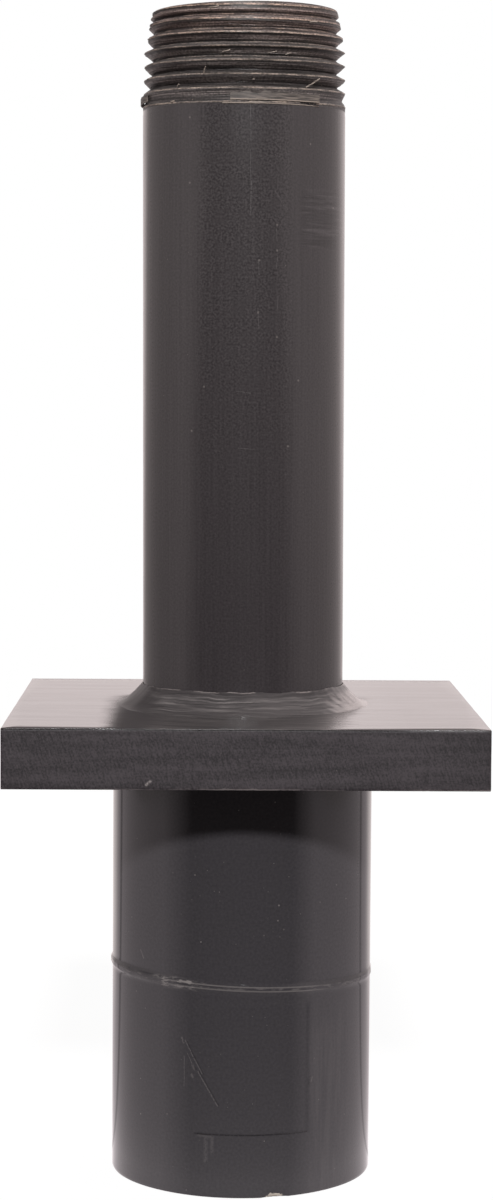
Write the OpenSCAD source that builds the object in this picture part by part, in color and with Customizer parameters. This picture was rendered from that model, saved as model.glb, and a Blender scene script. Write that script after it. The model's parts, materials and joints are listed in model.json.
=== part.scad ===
// Puddle flange pipe: a threaded plastic pipe through a square water-stop plate,
// welded to the plate and cemented into a socket coupling below it.
// It stands on the coupling's end, with the axis of the pipe along +Z.

/* [Pipe] */
// Outside diameter of the pipe
pipe_od = 33.4; // [27:0.1:48]
// Wall thickness of the pipe
pipe_wall = 4.55; // [3.6:0.05:7]
// Height of the pipe's end above the top face of the plate
pipe_rise = 114.2; // [40:0.1:300]

/* [Thread] */
// Distance from one crest to the next
thread_pitch = 2.209; // [1.8:0.001:2.8]
// Height of the thread from root to crest
thread_depth = 1.6; // [0.8:0.05:1.8]
// Length of the threaded end, with its run-out
thread_len = 15.2; // [10:0.1:30]
// Length over which the last turns fade out into the pipe
thread_runout = 3.4; // [1:0.1:6]
// Width of the flat on a crest
crest_flat = 0.24; // [0.1:0.01:0.4]
// Slope of a flank away from square to the axis
flank_angle = 30; // [25:0.5:30]
// Rise of the thread's roots for each millimetre away from the end
root_taper = 0.031; // [0:0.001:0.06]
// Angle by which the thread was cut askew of the pipe
thread_lean = 2.3; // [0:0.1:3]
// Angle round the pipe of the side where the askew thread is lowest
thread_dip = -59; // [-180:1:180]
// Angle round the pipe at which the thread starts
thread_start = 197; // [0:1:359]
// Length of the tapered lead-in at the pipe's end
lead_len = 6.5; // [1:0.1:9]
// How far the crests come in at the pipe's end
lead_depth = 1.25; // [0.4:0.05:1.4]

/* [Plate] */
// Side of the square plate
plate_w = 76; // [60:0.5:200]
// Thickness of the plate
plate_t = 9.5; // [4:0.1:20]

/* [Weld] */
// Height of the weld up the pipe
weld_rise = 3.7; // [1.5:0.1:8]
// Reach of the weld out over the plate
weld_reach = 4.9; // [1.5:0.1:8]
// Thickness of the weld at its two toes
weld_toe = 0.2; // [0.1:0.05:0.5]
// Hollow of the weld's face, as a share of the weld's throat
weld_hollow = 0.15; // [0.05:0.05:0.6]

/* [Coupling] */
// Wall thickness of the coupling round its sockets
coupling_wall = 4.9; // [3:0.1:10]
// Length of the coupling
coupling_len = 69; // [40:0.5:120]
// Thickness of the stop ring between the two sockets
stop_t = 3.5; // [2:0.1:8]
// How far the stop ring stands in from the socket's wall
stop_lip = 3.5; // [1.5:0.1:3.6]
// Depth of the flared mouth of a socket
mouth_depth = 1.2; // [0.4:0.1:2]
// How far the mouth flares out from the socket's wall
mouth_flare = 0.6; // [0.2:0.1:1.5]
// Bevel round the coupling's outer edges
edge_bevel = 0.4; // [0.2:0.05:1]
// Width of the parting ridge round the coupling's middle
seam_w = 1.8; // [1:0.1:4]
// Width of the flat on top of the parting ridge
seam_flat = 0.6; // [0.2:0.1:0.9]
// Height of the parting ridge
seam_h = 0.28; // [0.1:0.02:0.8]
// Height of the blank moulded patch above the coupling's lower end
patch_low = 10.5; // [2:0.1:20]
// Gap between the blank moulded patch and the parting ridge above it
patch_gap = 1.6; // [0.5:0.1:8]
// Angle that the blank moulded patch spans round the coupling
patch_span = 50; // [5:1:120]
// Angle round the coupling of the middle of the blank moulded patch
patch_turn = -86; // [-180:1:180]
// Depth of the blank moulded patch below the coupling's surface
patch_depth = 0.1; // [0.05:0.01:0.5]

/* [Fits] */
// Gap all round the pipe in a socket
socket_gap = 0.1; // [0.05:0.01:0.3]
// Gap all round the pipe in the plate's hole and inside the weld
hole_gap = 0.05; // [0.02:0.01:0.3]

/* [Hidden] */
$fn = 96;

// Heights along the axis, from the coupling's lower end
stop_top = (coupling_len + stop_t) / 2;
plate_top = coupling_len + plate_t;
pipe_top = plate_top + pipe_rise;
thread_bottom = pipe_top - thread_len;

// Radii about the axis
pipe_r = pipe_od / 2;
bore_r = pipe_r - pipe_wall;
socket_r = pipe_r + socket_gap;
hole_r = pipe_r + hole_gap;
coupling_r = socket_r + coupling_wall;
stop_r = socket_r - stop_lip;
// How far a cut runs past the faces that it opens
cut_past = 1;

// Steps round one turn of the thread
turn_steps = 60;
// Points of the tooth along one pitch: root, root, crest, crest
tooth_points = 4;
// Turns in the computed surface, with spare ones that the end faces cut off
turns = ceil(thread_len / thread_pitch) + 5;
column_points = turns * tooth_points;
// Smallest step between two points that lie on an end face
end_step = 0.01;
// How far the crests stay below the pipe's own surface
crest_drop = 0.03;
// Depth to which the threaded stub is sunk into the plain pipe
stub_sink = 0.8;

crest_r = pipe_r - crest_drop;
root_flat = max(0, thread_pitch - crest_flat - 2 * thread_depth * tan(flank_angle));
flank = (thread_pitch - crest_flat - root_flat) / 2;
// Starts of the root, the rising flank, the crest and the falling flank in one pitch
tooth_z = [0, root_flat, root_flat + flank, thread_pitch - flank];
lean_mid = pipe_top - thread_len / 2;

// Slope of the askew thread towards the axis in a column of points
function askew(step) = tan(thread_lean) * cos(360 * step / turn_steps - thread_dip);

// Height at which the tooth starts in a column of points, with the thread's lean
function tooth_base(step) =
    thread_bottom - 3 * thread_pitch
    + thread_pitch * (step / turn_steps + thread_start / 360)
    - pipe_r * askew(step);

// Share of the full tooth at a height: 0 in the root and 1 on the crest
function tooth_share(step, z) =
    let (u = (z - tooth_base(step)) % thread_pitch)
    u < root_flat ? 0 : min(1, (u - root_flat) / flank, (thread_pitch - u) / flank);

// Largest radius that the tapered end leaves at a height
function envelope_r(z) = crest_r - lead_depth * max(0, z - (pipe_top - lead_len)) / lead_len;

// Share of the full depth that the run-out leaves at a height
function cut_share(z) = min(1, max(0, (z - thread_bottom) / thread_runout));

// Depth of the root at a height: less away from the end, and on the side that it leans to
function root_depth(step, z) =
    thread_depth - root_taper * (pipe_top - lead_len - z) - (z - lean_mid) * askew(step);

// Height of a point, kept between the stub's end faces, with points on a face kept apart
function point_z(step, point) =
    let (z = tooth_base(step) + thread_pitch * floor(point / tooth_points) + tooth_z[point % tooth_points])
    min(pipe_top - end_step * (column_points - 1 - point),
        max(thread_bottom - stub_sink + end_step * point, z));

function tooth_point(step, point) =
    let (
        z = point_z(step, point),
        cut = cut_share(z) * max(0, root_depth(step, z)) * (1 - tooth_share(step, z)),
        r = min(envelope_r(z), crest_r - cut),
        a = 360 * step / turn_steps
    )
    [r * cos(a), r * sin(a), z];

function index(step, point) = step * column_points + point;

// Right-hand thread on a solid stub, closed by a flat face at each end
module thread_stub() {
    last = turn_steps - 1;
    top = column_points - 1;
    points = [
        for (step = [0 : last])
            for (point = [0 : top])
                tooth_point(step, point)
    ];
    walls = [
        for (step = [0 : last - 1])
            for (point = [0 : top - 1])
                each [
                    [index(step, point), index(step, point + 1), index(step + 1, point)],
                    [index(step, point + 1), index(step + 1, point + 1), index(step + 1, point)]
                ]
    ];
    // One turn on, the first column meets the last with its points one tooth further up
    seam = [
        for (point = [0 : top - 1 - tooth_points])
            let (above = point + tooth_points)
                each [
                    [index(last, point), index(last, point + 1), index(0, above)],
                    [index(last, point + 1), index(0, above + 1), index(0, above)]
                ]
    ];
    seam_foot = [
        for (point = [0 : tooth_points - 1])
            [index(last, 0), index(0, point + 1), index(0, point)]
    ];
    seam_head = [
        for (point = [top - tooth_points : top - 1])
            [index(last, point), index(last, point + 1), index(0, top)]
    ];
    foot = [[for (step = [0 : last]) index(step, 0)]];
    head = [[for (step = [last : -1 : 0]) index(step, top)]];
    polyhedron(points, concat(walls, seam, seam_foot, seam_head, foot, head), convexity = 10);
}

// Pipe from the coupling's stop to its threaded end, with its bore right through
module threaded_pipe() {
    color("#4a4647")
        difference() {
            union() {
                translate([0, 0, stop_top])
                    cylinder(r = pipe_r, h = thread_bottom - stop_top);
                thread_stub();
            }
            translate([0, 0, stop_top - cut_past])
                cylinder(r = bore_r, h = pipe_top - stop_top + 2 * cut_past);
        }
}

// Square water-stop plate, with the hole that the pipe passes through
module flange_plate() {
    color("#484345")
        translate([0, 0, coupling_len])
            difference() {
                translate([-plate_w / 2, -plate_w / 2, 0])
                    cube([plate_w, plate_w, plate_t]);
                translate([0, 0, -cut_past])
                    cylinder(r = hole_r, h = plate_t + 2 * cut_past);
            }
}

// Hollow-faced weld in the corner between the pipe and the plate
module pipe_weld() {
    pipe_toe = [hole_r + weld_toe, weld_rise];
    plate_toe = [hole_r + weld_reach, weld_toe];
    chord = plate_toe - pipe_toe;
    half_chord = norm(chord) / 2;
    throat = (weld_rise - weld_toe) * (weld_reach - weld_toe) / norm(chord);
    sag = weld_hollow * throat;
    hollow_r = (pow(half_chord, 2) + pow(sag, 2)) / (2 * sag);
    outward = [-chord[1], chord[0]] / norm(chord);
    centre = (pipe_toe + plate_toe) / 2 + outward * (hollow_r - sag);
    color("#555152")
        translate([0, 0, plate_top])
            rotate_extrude()
                difference() {
                    polygon([
                        [hole_r, 0],
                        [hole_r + weld_reach, 0],
                        plate_toe,
                        pipe_toe,
                        [hole_r, weld_rise]
                    ]);
                    translate(centre)
                        circle(r = hollow_r);
                }
}

// Moulded coupling: a socket at each end, a stop ring, a parting ridge and a blank patch
module socket_coupling() {
    half = coupling_len / 2;
    // Section from the ridge up to one mouth and down to the stop
    upper = [
        [coupling_r + seam_h, seam_flat / 2],
        [coupling_r, seam_w / 2],
        [coupling_r, half - edge_bevel],
        [coupling_r - edge_bevel, half],
        [socket_r + mouth_flare, half],
        [socket_r, half - mouth_depth],
        [socket_r, stop_t / 2],
        [stop_r, stop_t / 2]
    ];
    lower = [for (i = [len(upper) - 1 : -1 : 0]) [upper[i][0], -upper[i][1]]];
    color("#433f42")
        difference() {
            translate([0, 0, half])
                rotate_extrude()
                    polygon(concat(upper, lower));
            moulded_patch();
        }
}

// Shallow sunk patch that the blank mould insert leaves on the coupling's side
module moulded_patch() {
    patch_h = coupling_len / 2 - seam_w / 2 - patch_gap - patch_low;
    rotate([0, 0, patch_turn - patch_span / 2])
        rotate_extrude(angle = patch_span)
            translate([coupling_r - patch_depth, patch_low])
                square([patch_depth + cut_past, patch_h]);
}

threaded_pipe();
flange_plate();
pipe_weld();
socket_coupling();
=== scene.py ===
import json
import math
from functools import partial, reduce

import bpy
from mathutils import Matrix, Vector, noise


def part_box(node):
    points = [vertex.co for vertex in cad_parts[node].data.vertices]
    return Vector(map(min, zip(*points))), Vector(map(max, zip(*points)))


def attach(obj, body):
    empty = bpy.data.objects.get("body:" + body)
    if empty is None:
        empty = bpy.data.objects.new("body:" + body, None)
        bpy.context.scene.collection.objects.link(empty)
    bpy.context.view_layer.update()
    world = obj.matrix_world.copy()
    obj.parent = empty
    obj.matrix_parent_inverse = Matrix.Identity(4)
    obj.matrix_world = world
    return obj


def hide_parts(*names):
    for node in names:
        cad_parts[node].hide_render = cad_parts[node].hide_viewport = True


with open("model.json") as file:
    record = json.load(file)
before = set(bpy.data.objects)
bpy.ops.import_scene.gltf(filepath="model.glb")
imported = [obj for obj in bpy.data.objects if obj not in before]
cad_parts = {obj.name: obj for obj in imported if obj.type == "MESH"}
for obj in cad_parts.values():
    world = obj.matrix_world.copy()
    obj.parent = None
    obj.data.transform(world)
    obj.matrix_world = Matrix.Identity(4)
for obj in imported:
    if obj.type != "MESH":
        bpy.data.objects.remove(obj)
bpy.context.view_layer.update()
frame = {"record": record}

# Sizes in metres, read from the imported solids
MM = 0.001
mounts = {mount["name"]: mount for mount in frame["record"]["mounts"]}
pipe_low, pipe_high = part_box("threaded_pipe")
plate_low, plate_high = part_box("flange_plate")
weld_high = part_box("pipe_weld")[1]
coupling_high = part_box("socket_coupling")[1]

PIPE_R = pipe_high.x
PIPE_TOP = pipe_high.z
PIPE_FOOT = pipe_low.z
BORE_R = mounts["pipe_bore"]["dims"]["r_mm"] * MM
SOCKET_R = mounts["socket"]["dims"]["r_mm"] * MM
PLATE_HALF = plate_high.x
PLATE_TOP = plate_high.z
PLATE_FOOT = plate_low.z
WELD_R = weld_high.x
WELD_TOP = weld_high.z
COUPLING_TOP = coupling_high.z
RIDGE_R = coupling_high.x
RIDGE_H = 0.28 * MM
COUPLING_R = RIDGE_R - RIDGE_H
RIDGE_Z = COUPLING_TOP / 2
STOP_R = 13.3 * MM
STOP_HALF = 1.75 * MM
HOLE_R = PIPE_R + 0.05 * MM
BORE_CHAMFER = 0.5 * MM
TINY = 0.01 * MM
JOIN_REACH = 0.004 * MM

# Thread, cut a little askew
PITCH = 2.209 * MM
TOOTH_DEPTH = 1.7 * MM
TOOTH_POINTS = 30
THREAD_TURNS = 11
THREAD_FOOT = PIPE_TOP - 15.2 * MM
RUNOUT = 3.4 * MM
ROOT_TAPER = 0.031
LEAN_RIGHT = math.tan(math.radians(1.2))
LEAN_FRONT = math.tan(math.radians(2.0))
LEAN_MID = PIPE_TOP - 7.6 * MM
THREAD_START = 197 / 360
LEAD_LEN = 6.5 * MM
LEAD_DEPTH = 1.25 * MM
LOWER_FLANK = TOOTH_DEPTH * math.tan(math.radians(37))
UPPER_FLANK = TOOTH_DEPTH * math.tan(math.radians(26.5))
CREST_R = PIPE_R - 0.03 * MM
THREAD_BASE = THREAD_FOOT - 3 * PITCH + PITCH * THREAD_START - 0.14 * MM
# The pipe's wall over the radius halfway down the flanks
WALL_SHARE = 1.05

# The pipe stands a little askew on the plate
PIPE_LEAN = 0.00415
# The camera sees the front a little from the left, so bearings count from there
FRONT_SIDE = 0.67
FRONT = math.radians(-90 - FRONT_SIDE)


# Hand tools

def clear_selection():
    if bpy.context.mode != "OBJECT":
        bpy.ops.object.mode_set(mode="OBJECT")
    bpy.ops.object.select_all(action="DESELECT")


def take(piece):
    """Make the piece the only one that is selected."""
    clear_selection()
    piece.select_set(True)
    bpy.context.view_layer.objects.active = piece


def open_edit(piece, kind="VERT", action=None):
    """Open the piece in edit mode, with all or nothing of it selected if the action says so."""
    take(piece)
    bpy.ops.object.mode_set(mode="EDIT")
    bpy.ops.mesh.select_mode(type=kind)
    if action:
        bpy.ops.mesh.select_all(action=action)


def close_edit():
    bpy.ops.object.mode_set(mode="OBJECT")


def pick_edges(piece, test):
    """Open the piece with the edges selected whose two ends pass the test."""
    open_edit(piece, "EDGE", "DESELECT")
    close_edit()
    points = piece.data.vertices
    for edge in piece.data.edges:
        edge.select = test(points[edge.vertices[0]].co, points[edge.vertices[1]].co)
    open_edit(piece, "EDGE")


def pick_rim(piece, low, high):
    """Open the piece with its open rim between two heights selected."""
    open_edit(piece, "EDGE", "DESELECT")
    bpy.ops.mesh.select_non_manifold(
        extend=False, use_wire=True, use_boundary=True,
        use_multi_face=False, use_non_contiguous=False, use_verts=False)
    close_edit()
    points = piece.data.vertices
    for edge in piece.data.edges:
        if edge.select:
            heights = [points[index].co.z for index in edge.vertices]
            edge.select = low <= min(heights) and max(heights) <= high
    open_edit(piece, "EDGE")


def grow_rim(piece, place):
    """Extrude the selected rim and put its new points where place says."""
    bpy.ops.mesh.extrude_region_move()
    close_edit()
    for point in piece.data.vertices:
        if point.select:
            point.co = place(point.co.copy())
    open_edit(piece, "EDGE")


def bridge_rims(piece, low, high):
    """Close the gap between the two open rims that lie between two heights."""
    pick_rim(piece, low, high)
    bpy.ops.mesh.bridge_edge_loops()
    close_edit()


def move_points(piece, place):
    if bpy.context.mode != "OBJECT":
        close_edit()
    for point in piece.data.vertices:
        point.co = place(point.co.copy())
    piece.data.update()


def named(name):
    """The object that was just made, named together with its mesh."""
    piece = bpy.context.object
    piece.name = name
    piece.data.name = name
    return piece


def trace_chain(name, points):
    """Trace a chain of points by extruding one point from place to place."""
    clear_selection()
    bpy.ops.mesh.primitive_plane_add(size=MM)
    piece = named(name)
    open_edit(piece, "VERT", "SELECT")
    bpy.ops.mesh.merge(type="CENTER")
    bpy.ops.transform.translate(value=points[0])
    for start, end in zip(points, points[1:]):
        step = Vector(end) - Vector(start)
        bpy.ops.mesh.extrude_region_move(TRANSFORM_OT_translate={"value": step})
    close_edit()
    return piece


def start_ring(name, corners):
    """Ring round the plate's hole at its top, opened with its rim selected."""
    clear_selection()
    bpy.ops.mesh.primitive_circle_add(vertices=corners, radius=HOLE_R, fill_type="NOTHING")
    piece = named(name)
    move_points(piece, lambda p: p + Vector((0, 0, PLATE_TOP)))
    pick_rim(piece, PLATE_TOP - MM, PLATE_TOP + MM)
    return piece


def apply_modifier(piece, modifier):
    take(piece)
    bpy.ops.object.modifier_apply(modifier=modifier.name)


def join_points(piece):
    open_edit(piece, "VERT", "SELECT")
    bpy.ops.mesh.remove_doubles(threshold=JOIN_REACH)
    close_edit()


def turn_round(piece, steps, turns=1, rise=0.0):
    """Sweep the traced chain round the axis and join the turns."""
    sweep = piece.modifiers.new("turning", "SCREW")
    sweep.axis = "Z"
    sweep.angle = 2 * math.pi
    sweep.steps = steps
    sweep.render_steps = steps
    sweep.iterations = turns
    sweep.screw_offset = rise
    sweep.use_normal_calculate = True
    apply_modifier(piece, sweep)
    join_points(piece)


def cut_off(piece, height, above):
    """Cut the piece flat at a height and drop what lies above or below."""
    open_edit(piece, "VERT", "SELECT")
    bpy.ops.mesh.bisect(
        plane_co=(0, 0, height), plane_no=(0, 0, 1), use_fill=False,
        clear_outer=above, clear_inner=not above, threshold=1e-7)
    close_edit()


def face_outward(piece, crease=40):
    """Turn the faces outward and shade smooth up to the crease's angle in degrees."""
    open_edit(piece, "VERT", "SELECT")
    bpy.ops.mesh.normals_make_consistent(inside=False)
    take(piece)
    bpy.ops.object.shade_smooth_by_angle(angle=math.radians(crease))


def hand_over(piece, finish, node=None):
    """Give a finished piece its finish and its place in the frame."""
    clear_selection()
    piece.data.materials.clear()
    piece.data.materials.append(finish)
    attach(piece, "root")
    if node:
        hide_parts(node)


# Places and shares

def at(radius, angle, height):
    return Vector((radius * math.cos(angle), radius * math.sin(angle), height))


def turn_of(point):
    return math.atan2(point.y, point.x)


def ring(radius, height):
    """Rule that puts a point on a ring without turning it round the axis."""
    return lambda point: at(radius, turn_of(point), height)


def bearing(point):
    """Angle from the camera's side, positive to the right."""
    turn = turn_of(point) - FRONT
    return math.atan2(math.sin(turn), math.cos(turn))


def fade(value, low, high):
    """Smooth step from 0 at low to 1 at high."""
    share = min(1.0, max(0.0, (value - low) / (high - low)))
    return share * share * (3 - 2 * share)


def grain(x, y, z):
    return noise.noise(Vector((x, y, z)))


def ring_grain(turn, waves, z):
    """Noise that runs round the axis and meets itself."""
    return grain(math.cos(turn) * waves, math.sin(turn) * waves, z)


def point_grain(point, size):
    """Noise at a place, with grains of a size in millimetres."""
    return grain(*(value / (size * MM) for value in point))


# Threaded pipe

def tooth_share(height):
    """Share of the full tooth at a height within one pitch, with softened corners."""
    shifts = (-0.03, -0.01, 0.01, 0.03)
    total = 0.0
    for shift in shifts:
        u = (height + shift * MM) % PITCH
        total += min(1.0, u / LOWER_FLANK, (PITCH - u) / UPPER_FLANK)
    return total / len(shifts)


def thread_end(around):
    """Height at which the thread's run-out ends, lowest at the front."""
    ragged = ring_grain(around, 7, 5.5)
    return THREAD_FOOT - (0.25 + 0.65 * max(0.0, math.cos(around)) + 0.12 * ragged) * MM


def worn_crest(around, height):
    """Depth of wear on the crests, most on the left and near the pipe's end."""
    left = fade(-math.degrees(around), 40, 85)
    bites = ring_grain(around, 12, height / (1.2 * MM))
    fine = ring_grain(around, 42, height / (0.5 * MM))
    blunt = left * (0.14 + 0.34 * fade(height, PIPE_TOP - 7 * MM, PIPE_TOP - 4 * MM))
    return (blunt + max(0.0, bites) * (0.16 + 0.3 * left) + max(0.0, fine) * (0.14 + 0.3 * left)) * MM


def cut_thread(point):
    """Place of a point of the swept tooth in the askew, tapered and worn thread."""
    turn = turn_of(point)
    share = (math.hypot(point.x, point.y) - CREST_R + TOOTH_DEPTH) / TOOTH_DEPTH
    around = bearing(point)
    along = point.z - PITCH * around / (2 * math.pi)
    lean = LEAN_RIGHT * math.cos(turn) - LEAN_FRONT * math.sin(turn)
    z = point.z - PIPE_R * lean
    depth = TOOTH_DEPTH - ROOT_TAPER * (PIPE_TOP - LEAD_LEN - z)
    depth -= (z - LEAN_MID) * lean + 0.12 * MM * math.cos(turn)
    end = thread_end(around)
    left = 0.0 if z < end else min(1.0, 0.12 + 0.88 * (z - end) / RUNOUT)
    drag = ring_grain(around, 3.5, along / (0.15 * MM))
    tear = ring_grain(around, 16, along / (0.3 * MM))
    # The lower flank bulges on the lower turns and is undercut on the upper ones
    across = (point.z - THREAD_BASE - PITCH * turn / (2 * math.pi)) % PITCH
    fall = 1 - max(0.0, share) ** 1.2
    if across < LOWER_FLANK:
        fall = max(0.0, 1 - share) ** (1.5 - 0.7 * fade(z, 181.5 * MM, 184.5 * MM))
    radius = CREST_R - left * max(0.0, depth) * fall
    radius -= left * (0.22 * max(0.0, drag) + 0.1 * max(0.0, tear)) * MM * (1.15 - share)
    lead = CREST_R - LEAD_DEPTH * max(0.0, z - PIPE_TOP + LEAD_LEN) / LEAD_LEN
    radius = min(radius, lead - 0.05 * MM * max(0.0, drag) * left)
    radius -= left * share * share * worn_crest(around, z)
    burr = 0.12 * MM * fade(0.16 * MM - abs(z - end + 0.05 * MM), 0, 0.12 * MM)
    return at(radius + burr * max(0.0, 0.5 + tear), turn, z)


def sawn_end(point):
    """Lower the pipe's end a little on the left, where it was sawn out of square."""
    drop = 0.25 * MM * (1 - math.cos(bearing(point) - math.radians(70)))
    return point - Vector((0, 0, drop * fade(point.z, PIPE_TOP - 3 * MM, PIPE_TOP)))


def lean_over(point):
    """Lean of the pipe above the plate."""
    return point - Vector((PIPE_LEAN * max(0.0, point.z - PLATE_FOOT), 0, 0))


def threaded_pipe():
    profile = []
    for i in range(TOOTH_POINTS + 1):
        u = PITCH * i / TOOTH_POINTS
        radius = CREST_R - TOOTH_DEPTH * (1 - tooth_share(u))
        profile.append((radius, 0, THREAD_BASE + u))
    pipe = trace_chain("threaded_pipe_body", profile)
    turn_round(pipe, 216, THREAD_TURNS, PITCH)
    move_points(pipe, cut_thread)
    cut_off(pipe, PIPE_TOP, True)
    cut_off(pipe, THREAD_FOOT - 1.5 * MM, False)
    # Plain length of pipe below the thread
    pick_rim(pipe, PIPE_FOOT, THREAD_FOOT - 1.4 * MM)
    grow_rim(pipe, lambda p: at(PIPE_R, turn_of(p), p.z - 0.4 * MM))
    for height in (140 * MM, 100 * MM, 60 * MM, PIPE_FOOT):
        grow_rim(pipe, ring(PIPE_R, height))
    # End face and bore
    pick_rim(pipe, PIPE_TOP - TINY, PIPE_TOP + TINY)
    grow_rim(pipe, ring(BORE_R + BORE_CHAMFER, PIPE_TOP))
    grow_rim(pipe, ring(BORE_R, PIPE_TOP - BORE_CHAMFER))
    grow_rim(pipe, ring(BORE_R, PIPE_FOOT))
    bridge_rims(pipe, PIPE_FOOT - TINY, PIPE_FOOT + TINY)
    join_points(pipe)
    move_points(pipe, sawn_end)
    move_points(pipe, lean_over)
    face_outward(pipe)
    return pipe


# Torn plastic left on the thread

def shaving(name, path, width, thick):
    """Ribbon through places given as bearing, radius and height, standing up by its width."""
    points = [at(radius * MM, FRONT + math.radians(side), z * MM) for side, radius, z in path]
    ribbon = trace_chain(name, points)
    open_edit(ribbon, "VERT", "SELECT")
    grow_rim(ribbon, lambda p: p + Vector((0, 0, width * (1 + 0.35 * point_grain(p, 0.7)) * MM)))
    close_edit()
    wall = ribbon.modifiers.new("thickness", "SOLIDIFY")
    wall.thickness = thick * MM
    wall.offset = 0
    apply_modifier(ribbon, wall)
    move_points(ribbon, lean_over)
    face_outward(ribbon, 50)
    return ribbon


def curve_path(start, end, steps, bulge):
    """Places from a start to an end, lifted off the pipe in between by the bulge."""
    path = []
    for i in range(steps + 1):
        t = i / steps
        side, radius, z = (a + (b - a) * t for a, b in zip(start, end))
        wave = 0.06 * grain(side * 0.5, radius * 3, z * 2)
        path.append((side, radius + 4 * bulge * t * (1 - t) + wave, z + wave))
    return path


def join_pieces(name, parts):
    clear_selection()
    for part in parts:
        part.select_set(True)
    bpy.context.view_layer.objects.active = parts[0]
    bpy.ops.object.join()
    return named(name)


def torn_strip():
    """Flat strip peeled from the thread's run-out, lifted at its right end."""
    path = []
    for i in range(45):
        side = -7.5 + 51 * i / 44
        lift = 0.1 + 0.75 * fade(side, 28, 46) ** 1.5
        wave = 0.05 * grain(side * 0.6, 1.3, 4.1)
        path.append((side, 16.72 + lift, 176.8 + wave))
    return shaving("torn_strip", path, 1.2, 0.22)


def torn_burr():
    """Flaps torn up at the thread's left edge and the burr along its run-out."""
    parts = []
    for turn in (0, 1):
        start = (-97 + 4 * turn, 16.75, 177.15 + 0.5 * turn)
        end = (-70, 16.75, 177.5 + 0.4 * turn)
        parts.append(shaving("flap", curve_path(start, end, 14, 0.22), 0.95 - 0.2 * turn, 0.16))
    path = []
    for side in range(-12, 47, 2):
        path.append((side, 16.74 + 0.05 * grain(side, 2.2, 7.7), 176.25 + 0.03 * grain(side, 5, 1)))
    parts.append(shaving("burr", path, 0.12, 0.08))
    return join_pieces("torn_burr", parts)


def thread_shavings():
    """Strands and crumbs of cut plastic in the thread, as start, end, width and thickness."""
    strands = [
        ((37, 16.45, 179.1), (45.5, 17.0, 180.6), 0.2, 0.16),
        ((-23, 16.5, 181.1), (-21.3, 16.9, 182.0), 0.18, 0.14),
        ((-40.5, 16.5, 179.2), (-38.7, 16.6, 179.5), 0.14, 0.12),
        ((-13, 15.6, 184.4), (-8, 15.9, 184.7), 0.12, 0.1),
        ((14, 15.6, 184.3), (19, 15.9, 184.6), 0.11, 0.1),
        ((25, 15.7, 184.2), (28, 15.9, 184.5), 0.11, 0.1),
        ((-32, 16.3, 187.9), (-25, 16.25, 188.0), 0.14, 0.12),
        ((-21, 15.6, 191.4), (-15, 15.65, 191.6), 0.2, 0.2),
        ((41, 16.0, 189.6), (47, 16.05, 189.8), 0.2, 0.16),
        ((-47.5, 16.3, 183.2), (-45, 16.35, 183.3), 0.14, 0.12),
        ((-45, 16.66, 176.8), (-42, 16.7, 176.85), 0.16, 0.12),
        ((5, 15.9, 180.0), (6, 16.0, 180.1), 0.14, 0.12)]
    parts = []
    for start, end, width, thick in strands:
        parts.append(shaving("strand", curve_path(start, end, 8, 0.08), width, thick))
    return join_pieces("thread_shavings", parts)


# Flange plate

def plate_place(share, radius, height):
    """Rule for a ring that goes over from round to square by a share."""
    def place(point):
        turn = turn_of(point)
        square = PLATE_HALF / max(abs(math.cos(turn)), abs(math.sin(turn)))
        return at((1 - share) * radius + share * square, turn, height)
    return place


def on_outline(point):
    return max(abs(point.x), abs(point.y)) > PLATE_HALF - TINY


def plate_edge(first, second):
    """True on the edges of the square outline and its four corners."""
    if not (on_outline(first) and on_outline(second)):
        return False
    if abs(first.z - second.z) < TINY:
        return min(abs(first.z - PLATE_TOP), abs(first.z - PLATE_FOOT)) < TINY
    return min(abs(first.x), abs(first.y)) > PLATE_HALF - TINY


def sawn_edge(point):
    """Nibble the plate's lower edge, wave its sawn sides and take the left one in a little."""
    reach = max(abs(point.x), abs(point.y))
    if reach < PLATE_HALF - 0.4 * MM:
        return point
    nibble = grain(point.x / (0.9 * MM), point.y / (0.9 * MM), 3.1)
    rough = max(0.0, nibble) * 0.12 * MM * fade(PLATE_FOOT + 0.6 * MM - point.z, 0, 0.6 * MM)
    wave = 0.03 * MM * (1 + grain(point.x / (5 * MM), point.y / (5 * MM), point.z / (3 * MM)))
    shrink = 1 - (rough + wave) / reach
    short = 0.2 * MM * fade(-point.x, PLATE_HALF - 0.5 * MM, PLATE_HALF - 0.3 * MM)
    return Vector((point.x * shrink + short, point.y * shrink, point.z))


def flange_plate():
    plate = start_ring("flange_plate_body", 480)
    rings = [(0.0, 18), (0.0, 20), (0.05, 22), (0.15, 25), (0.4, 29), (0.75, 33), (1.0, 38)]
    for share, radius in rings:
        grow_rim(plate, plate_place(share, radius * MM, PLATE_TOP))
    for drop in (0.5, 2, 4.75, 7.5, 9.0, 9.5):
        grow_rim(plate, plate_place(1.0, 0, PLATE_TOP - drop * MM))
    for share, radius in reversed(rings[:-1]):
        grow_rim(plate, plate_place(share, radius * MM, PLATE_FOOT))
    grow_rim(plate, plate_place(0.0, HOLE_R, PLATE_FOOT))
    bridge_rims(plate, PLATE_FOOT - MM, PLATE_TOP + MM)
    pick_edges(plate, plate_edge)
    bpy.ops.mesh.bevel(offset=0.1 * MM, segments=2, profile=0.5, affect="EDGES")
    close_edit()
    move_points(plate, sawn_edge)
    face_outward(plate, 35)
    return plate


# Weld between the pipe and the plate

WELD_ROWS = 40


def weld_skirt(around):
    """How far the weld reaches out from the axis, furthest at the front left."""
    side = math.degrees(around)
    left = 1.6 * math.exp(-((side + 42) / 27) ** 2)
    front = 2.4 * math.exp(-((side + 4) / 30) ** 2)
    return WELD_R + (left + front - 0.7) * MM


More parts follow.
